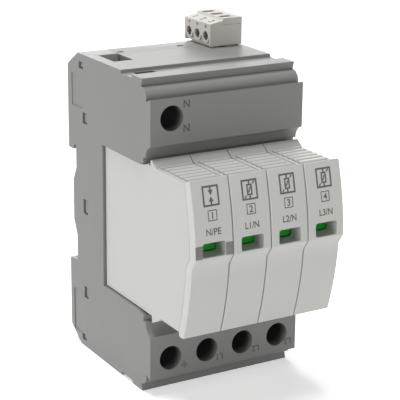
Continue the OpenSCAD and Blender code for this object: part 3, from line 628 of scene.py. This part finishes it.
def on_outline(pole):
    def pick(edge):
        if not any(f.normal.y < FACES_FRONT for f in edge.link_faces):
            return False
        x = [abs(v.co.x - pole) for v in edge.verts]
        z = [v.co.z for v in edge.verts]
        level = min(z) > CAP_TOP - TOUCH or max(z) < CAP_LOW + TOUCH
        return min(x) > CAP_HALF - TOUCH or level
    return pick


def on_top(edge, before):
    high = min(v.co.z for v in edge.verts) > SHELL_TOP - SHELL_REACH
    return high and max(v.co.y for v in edge.verts) < before


def on_ridge(edge):
    return on_top(edge, GRIP_Y)


def on_top_side(pole):
    def pick(edge):
        beside = min(abs(v.co.x - pole) for v in edge.verts) > CAP_HALF - TOUCH
        return beside and on_top(edge, SHOULDER_Y)
    return pick


def in_grip(face):
    spot = face.calc_center_median()
    return spot.z > SHELL_TOP + TOUCH and spot.y < GRIP_Y


def in_window(pole):
    def recess(face):
        spot = face.calc_center_median()
        inside = abs(spot.x - pole) < WINDOW_HALF and WINDOW_LOW < spot.z < WINDOW_HIGH
        return inside and face.normal.y > FACES_AWAY
    return recess


# The valleys between the grip ridges get painted shade, by height.
finishes["grip"] = two_tone(
    "grip_painted_shade", "Z", GRIP_DARK_Z, GRIP_LIGHT_Z, GRIP_PAINTED_SHADE, SHELL_GREY, 0.45)
for i, pole in enumerate(POLES, 1):
    shell = rounded(
        f"plug_shell_{i}", SHELL_EDGE, crease=SHELL_CREASE, skip=on_ridge, pick=on_top_side(pole),
        wide=FINGER_EDGE, recess=in_grip, inner="grip",
    )
    # The faces inside each window recess take a darker grey, as painted shade.
    cap = rounded(
        f"plug_cap_{i}", CAP_EDGE, pick=on_outline(pole), wide=FINGER_EDGE, recess=in_window(pole))
    print("plug", i, "has", len(shell.data.polygons), "+", len(cap.data.polygons), "faces")

# %% [markdown]
# ## Small parts
# The signal plug stands on top, the screws are seen through their holes, and the blades and the header
# show when a plug is pulled. The contacts, the cages and the parts inside the plugs are hidden until
# the model is opened. All of them get the same treatment with smaller radii: punched strip has hardly
# any, a dipped disc has plenty. A round rim is a ring of short edges, so the shortest edge that is
# rounded is smaller too. Each row gives the radius and that shortest edge.

# %% Small parts
PLUGS, SIGNAL_POLES, TERMINALS = (1, 2, 3, 4), (1, 2, 3), ("n", "pe", "l1", "l2", "l3")
small = {"signal_plug": (0.15, 0.6), "signal_header": (0.12, 0.6), "signal_bar": (0.15, 0.25)}
small |= {f"signal_screw_{k}": (0.08, 0.1) for k in SIGNAL_POLES}
small |= {f"terminal_screw_{t}": (0.2, 0.3) for t in TERMINALS}
for i in PLUGS:
    small[f"status_flag_{i}"] = (0.12, 0.5)
    for side in ("upper", "lower"):
        small[f"{side}_blade_{i}"] = (0.12, 0.6)
        small[f"{side}_contact_{i}"] = (0.08, 0.5)
small |= {f"clamp_cage_{t}": (0.15, 0.6) for t in TERMINALS}
small |= {f"signal_clamp_{k}": (0.06, 0.4) for k in SIGNAL_POLES}
small |= {f"varistor_{i}": (0.5, 0.3) for i in PLUGS[1:]}
small |= {"spark_gap": (0.3, 0.3), "neutral_busbar": (0.12, 0.6), "signal_switch": (0.2, 0.6)}
small |= {"signal_pins": (0.08, 0.3), "signal_sockets": (0.08, 0.4)}
for node, (width, shortest) in small.items():
    piece = rounded(node, width, shortest=shortest)
    # The signal screws take a dark metal in place of the zinc plating, which keeps their holes dark.
    if node.startswith("signal_screw"):
        piece.data.materials[0] = finishes["dark_screw"]
print("rounded", len(small), "small parts")

# %% [markdown]
# ## Drawing in ink
# Ink is a very thin layer, so the marks are drawn flat, given a few hundredths of thickness and then
# laid on their face, half sunk so that no gap shows. Lettering starts as a text object and is made a
# mesh at once. A plain stroke is a small grid, so that it can bend where the face below it does.

# %% Drawing in ink
INK, STROKE_STEP, UNIT_HALF = 0.03, 0.6, 0.5
ink_dark = finish("ink_dark", moulded, Color=(0.085, 0.085, 0.08), Roughness=0.55, Cloud=0.3)
ink_grey = finish("ink_grey", moulded, Color=(0.11, 0.11, 0.1), Roughness=0.5, Cloud=0.25)
ink_field = finish("ink_field", moulded, Color=(0.21, 0.21, 0.2), Roughness=0.5, Cloud=0.1)


def place(bm, verts, across, up, turn=0):
    spin = Matrix.Rotation(math.radians(turn), 4, "Z")
    bmesh.ops.transform(bm, matrix=Matrix.Translation((across, up, 0)) @ spin, verts=verts)


def letters(bm, text, across, up, height, turn=0, squeeze=1.0, bold=0.015):
    curve = bpy.data.curves.new("letters", "FONT")
    curve.body = text
    curve.offset = bold
    curve.align_x, curve.align_y = "CENTER", "CENTER"
    holder = bpy.data.objects.new("letters", curve)
    scene.collection.objects.link(holder)
    shown = holder.evaluated_get(bpy.context.evaluated_depsgraph_get())
    flat = bpy.data.meshes.new_from_object(shown)
    bpy.data.objects.remove(holder)
    old = set(bm.verts)
    bm.from_mesh(flat)
    new = [v for v in bm.verts if v not in old]
    low = [min(v.co[k] for v in new) for k in (0, 1)]
    high = [max(v.co[k] for v in new) for k in (0, 1)]
    back = [-(low[0] + high[0]) / 2, -(low[1] + high[1]) / 2, 0]
    bmesh.ops.translate(bm, vec=back, verts=new)
    size = height / (high[1] - low[1])
    bmesh.ops.scale(bm, vec=(size * squeeze, size, 1), verts=new)
    place(bm, new, across, up, turn)


def unit_grid(bm, columns, rows):
    return bmesh.ops.create_grid(bm, x_segments=columns, y_segments=rows, size=UNIT_HALF)["verts"]


def stroke(bm, across, up, width, height, turn=0, shift=0):
    parts = [max(1, round(length / STROKE_STEP)) for length in (width, height)]
    made = unit_grid(bm, *parts)
    bmesh.ops.scale(bm, vec=(width, height, 1), verts=made)
    bmesh.ops.translate(bm, vec=(0, shift, 0), verts=made)
    place(bm, made, across, up, turn)


def on_front(face_y):
    return lambda flat: Vector((flat.x, face_y(flat.y) - flat.z, flat.y))


def printed(bm, name, body, slot, lay, material):
    bmesh.ops.translate(bm, vec=(0, 0, -INK), verts=bm.verts)
    skin = bmesh.ops.extrude_face_region(bm, geom=bm.faces[:])["geom"]
    lifted = [v for v in skin if isinstance(v, bmesh.types.BMVert)]
    bmesh.ops.translate(bm, vec=(0, 0, 2 * INK), verts=lifted)
    for vert in bm.verts:
        vert.co = lay(vert.co)
    bmesh.ops.recalc_face_normals(bm, faces=bm.faces)
    bmesh.ops.scale(bm, vec=(MM, MM, MM), verts=bm.verts)
    piece = piece_from(bm, name, body, slot, material)
    print(name, "has", len(piece.data.polygons), "faces")


print("ink stands", INK, "mm proud")

# %% [markdown]
# ## Terminal marks
# The base names its terminals in print: N twice beside the upper hole, and the earth sign and the three
# lines below, upside down as seen from the front because the wires come from below. The earth sign is
# three bars, each shorter than the last, on a short stem.

# %% Terminal marks
NEUTRAL_X, NEUTRAL_UPS, NEUTRAL_HEIGHT = -14.0, (40.4, 33.3), 2.2
LOWER_UP, LINE_HEIGHT = -39.7, 2.0
LINES = {"L1": -1.67, "L2": 11.11, "L3": 22.9}
EARTH_X, EARTH_LINE = -14.1, 0.26
EARTH_BARS = {2.2: 0.1, 1.4: -0.45, 0.6: -1.0}
STEM, STEM_SHIFT = 1.0, 0.6

bm = bmesh.new()
for up in NEUTRAL_UPS:
    letters(bm, "N", NEUTRAL_X, up, NEUTRAL_HEIGHT)
for text, x in LINES.items():
    letters(bm, text, x, LOWER_UP, LINE_HEIGHT, turn=180)
for width, shift in EARTH_BARS.items():
    stroke(bm, EARTH_X, LOWER_UP, width, EARTH_LINE, turn=180, shift=shift)
stroke(bm, EARTH_X, LOWER_UP, EARTH_LINE, STEM, turn=180, shift=STEM_SHIFT)
printed(bm, "terminal_marks", "base", "housing", on_front(lambda up: FRONT_Y), ink_dark)

# %% [markdown]
# ## Pole numbers on the signal plug
# The plug's sloped shoulder carries the numbers of its three poles, to be read from the side of the
# screws. They are drawn flat like the other marks, and only the way they are laid on the face differs:
# across runs from back to front, and up climbs the slope.

# %% Pole numbers on the signal plug
SIGNAL_LEFT, SIGNAL_TOP = 13.5, 56.8
LEDGE_W, LEDGE_DROP = 4.4, 0.8
SIGNAL_MIDDLE, SIGNAL_PITCH = -7.1, 5.08
POLE_NUMBER_HEIGHT, POLE_NUMBER_BOLD = 2.3, 0.025


def on_shoulder(flat):
    rise = LEDGE_DROP / LEDGE_W
    x = SIGNAL_LEFT + flat.y - rise * flat.z
    z = SIGNAL_TOP - 2 * LEDGE_DROP + rise * flat.y + flat.z
    return Vector((x, -flat.x, z))


bm = bmesh.new()
for k in SIGNAL_POLES:
    across = -SIGNAL_MIDDLE + (k - 2) * SIGNAL_PITCH
    letters(bm, str(k), across, LEDGE_W / 2, POLE_NUMBER_HEIGHT, bold=POLE_NUMBER_BOLD)
printed(bm, "pole_numbers", "signal_plug", "signal", on_shoulder, ink_dark)

# %% [markdown]
# ## Signs for what is inside
# The first plug holds a gas-filled gap and the others a varistor, and a circuit diagram has a sign for
# each: two arrow heads that face each other, and a box with a slanted line across it. Both stand in a
# frame with a short lead above and below. A frame is a grid whose inner faces are deleted.

# %% Signs for what is inside
RIM = UNIT_HALF - 1e-4
SIGN_W, SIGN_H, SIGN_LINE = 5.2, 5.6, 0.5
LEAD, LEAD_SHIFT = 0.7, 1.95
ARROW, ARROW_SHIFT, ARROW_CUTS = 0.95, 1.1, 3
DISC_W, DISC_H, DISC_LINE = 1.8, 3.1, 0.45
SLANT_LINE, SLANT, SLANT_TURN = 0.4, 1.7, -24
END, END_SHIFT, END_TURN = 0.9, 2.35, -38


def frame_line(bm, across, up, width, height, line):
    parts = [round(length / line) for length in (width, height)]
    made = unit_grid(bm, *parts)
    faces = {f for v in made for f in v.link_faces}
    inner = [f for f in faces if all(max(abs(v.co.x), abs(v.co.y)) < RIM for v in f.verts)]
    bmesh.ops.delete(bm, geom=inner, context="FACES")
    made = [v for v in made if v.is_valid]
    bmesh.ops.scale(bm, vec=(width, height, 1), verts=made)
    place(bm, made, across, up)


def arrow_head(bm, across, up, turn):
    spot = Matrix.Translation((across, up, 0)) @ Matrix.Rotation(math.radians(turn), 4, "Z")
    made = bmesh.ops.create_circle(bm, cap_ends=True, segments=3, radius=ARROW, matrix=spot)
    sides = list({e for v in made["verts"] for e in v.link_edges})
    bmesh.ops.subdivide_edges(bm, edges=sides, cuts=ARROW_CUTS, use_grid_fill=True)


def sign(bm, across, up, gas):
    frame_line(bm, across, up, SIGN_W, SIGN_H, SIGN_LINE)
    for side in (-1, 1):
        stroke(bm, across, up, SIGN_LINE, LEAD, shift=side * LEAD_SHIFT)
    if gas:
        arrow_head(bm, across, up + ARROW_SHIFT, 180)
        arrow_head(bm, across, up - ARROW_SHIFT, 0)
    else:
        frame_line(bm, across, up, DISC_W, DISC_H, DISC_LINE)
        stroke(bm, across, up, SLANT_LINE, SLANT, turn=SLANT_TURN)
        for side in (-1, 1):
            stroke(bm, across, up, SLANT_LINE, END, turn=END_TURN, shift=side * END_SHIFT)


print("a sign is", SIGN_W, "by", SIGN_H, "mm")

# %% [markdown]
# ## Marks on the plugs
# A plug's front carries the sign of what is inside, its place number in a box, and the two conductors
# it stands between. The front is a curve, drawn in the CAD model as a row of flat strips, so the ink
# follows the same strips. The first plug also has a grey field on each side of its window.

# %% Marks on the plugs
FOREMOST_Y, CURVE_R, CURVE_Z = -73.2, 90, -2.3
STEP_TOP, STRIPS = 2.3, 6
SIGN_UP, NUMBER_UP, LABEL_UP, FIELD_UP = 19.7, 14.4, 9.9, 4.55
BOX_W, BOX_H, BOX_LINE = 2.9, 3.0, 0.25
MARK_HEIGHT, LABEL_SQUEEZE = 1.9, 0.9
LABELS = ("N/PE", "L1/N", "L2/N", "L3/N")
FIELDS, FIELD_HEIGHT = {-23.6: 2.3, -13.9: 2.2}, 3.7


def curve_y(z):
    return FOREMOST_Y + CURVE_R - math.sqrt(CURVE_R * CURVE_R - (z - CURVE_Z) ** 2)


def cap_y(z):
    step = (CAP_TOP - STEP_TOP) / STRIPS
    k = min(STRIPS - 1, max(0, math.floor((z - STEP_TOP) / step)))
    low, high = STEP_TOP + k * step, STEP_TOP + (k + 1) * step
    return curve_y(low) + (curve_y(high) - curve_y(low)) * (z - low) / (high - low)


for i, (pole, label) in enumerate(zip(POLES, LABELS), 1):
    bm = bmesh.new()
    sign(bm, pole, SIGN_UP, gas=i == 1)
    frame_line(bm, pole, NUMBER_UP, BOX_W, BOX_H, BOX_LINE)
    letters(bm, str(i), pole, NUMBER_UP, MARK_HEIGHT)
    letters(bm, label, pole, LABEL_UP, MARK_HEIGHT, squeeze=LABEL_SQUEEZE)
    printed(bm, f"plug_marks_{i}", f"plug_{i}", "cap", on_front(cap_y), ink_grey)
bm = bmesh.new()
for x, width in FIELDS.items():
    stroke(bm, x, FIELD_UP, width, FIELD_HEIGHT)
printed(bm, "window_fields", "plug_1", "cap", on_front(cap_y), ink_field)

# %% [markdown]
# ## Sizes
# The dressed model's box is compared with the CAD box, corner by corner.

# %% Sizes
dressed_box = [list(corner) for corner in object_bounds()]
for name, cad, dressed in zip(("low", "high"), cad_box, dressed_box):
    print(name, "corner moved by", [round((b - a) / MM, 3) for a, b in zip(cad, dressed)], "mm")
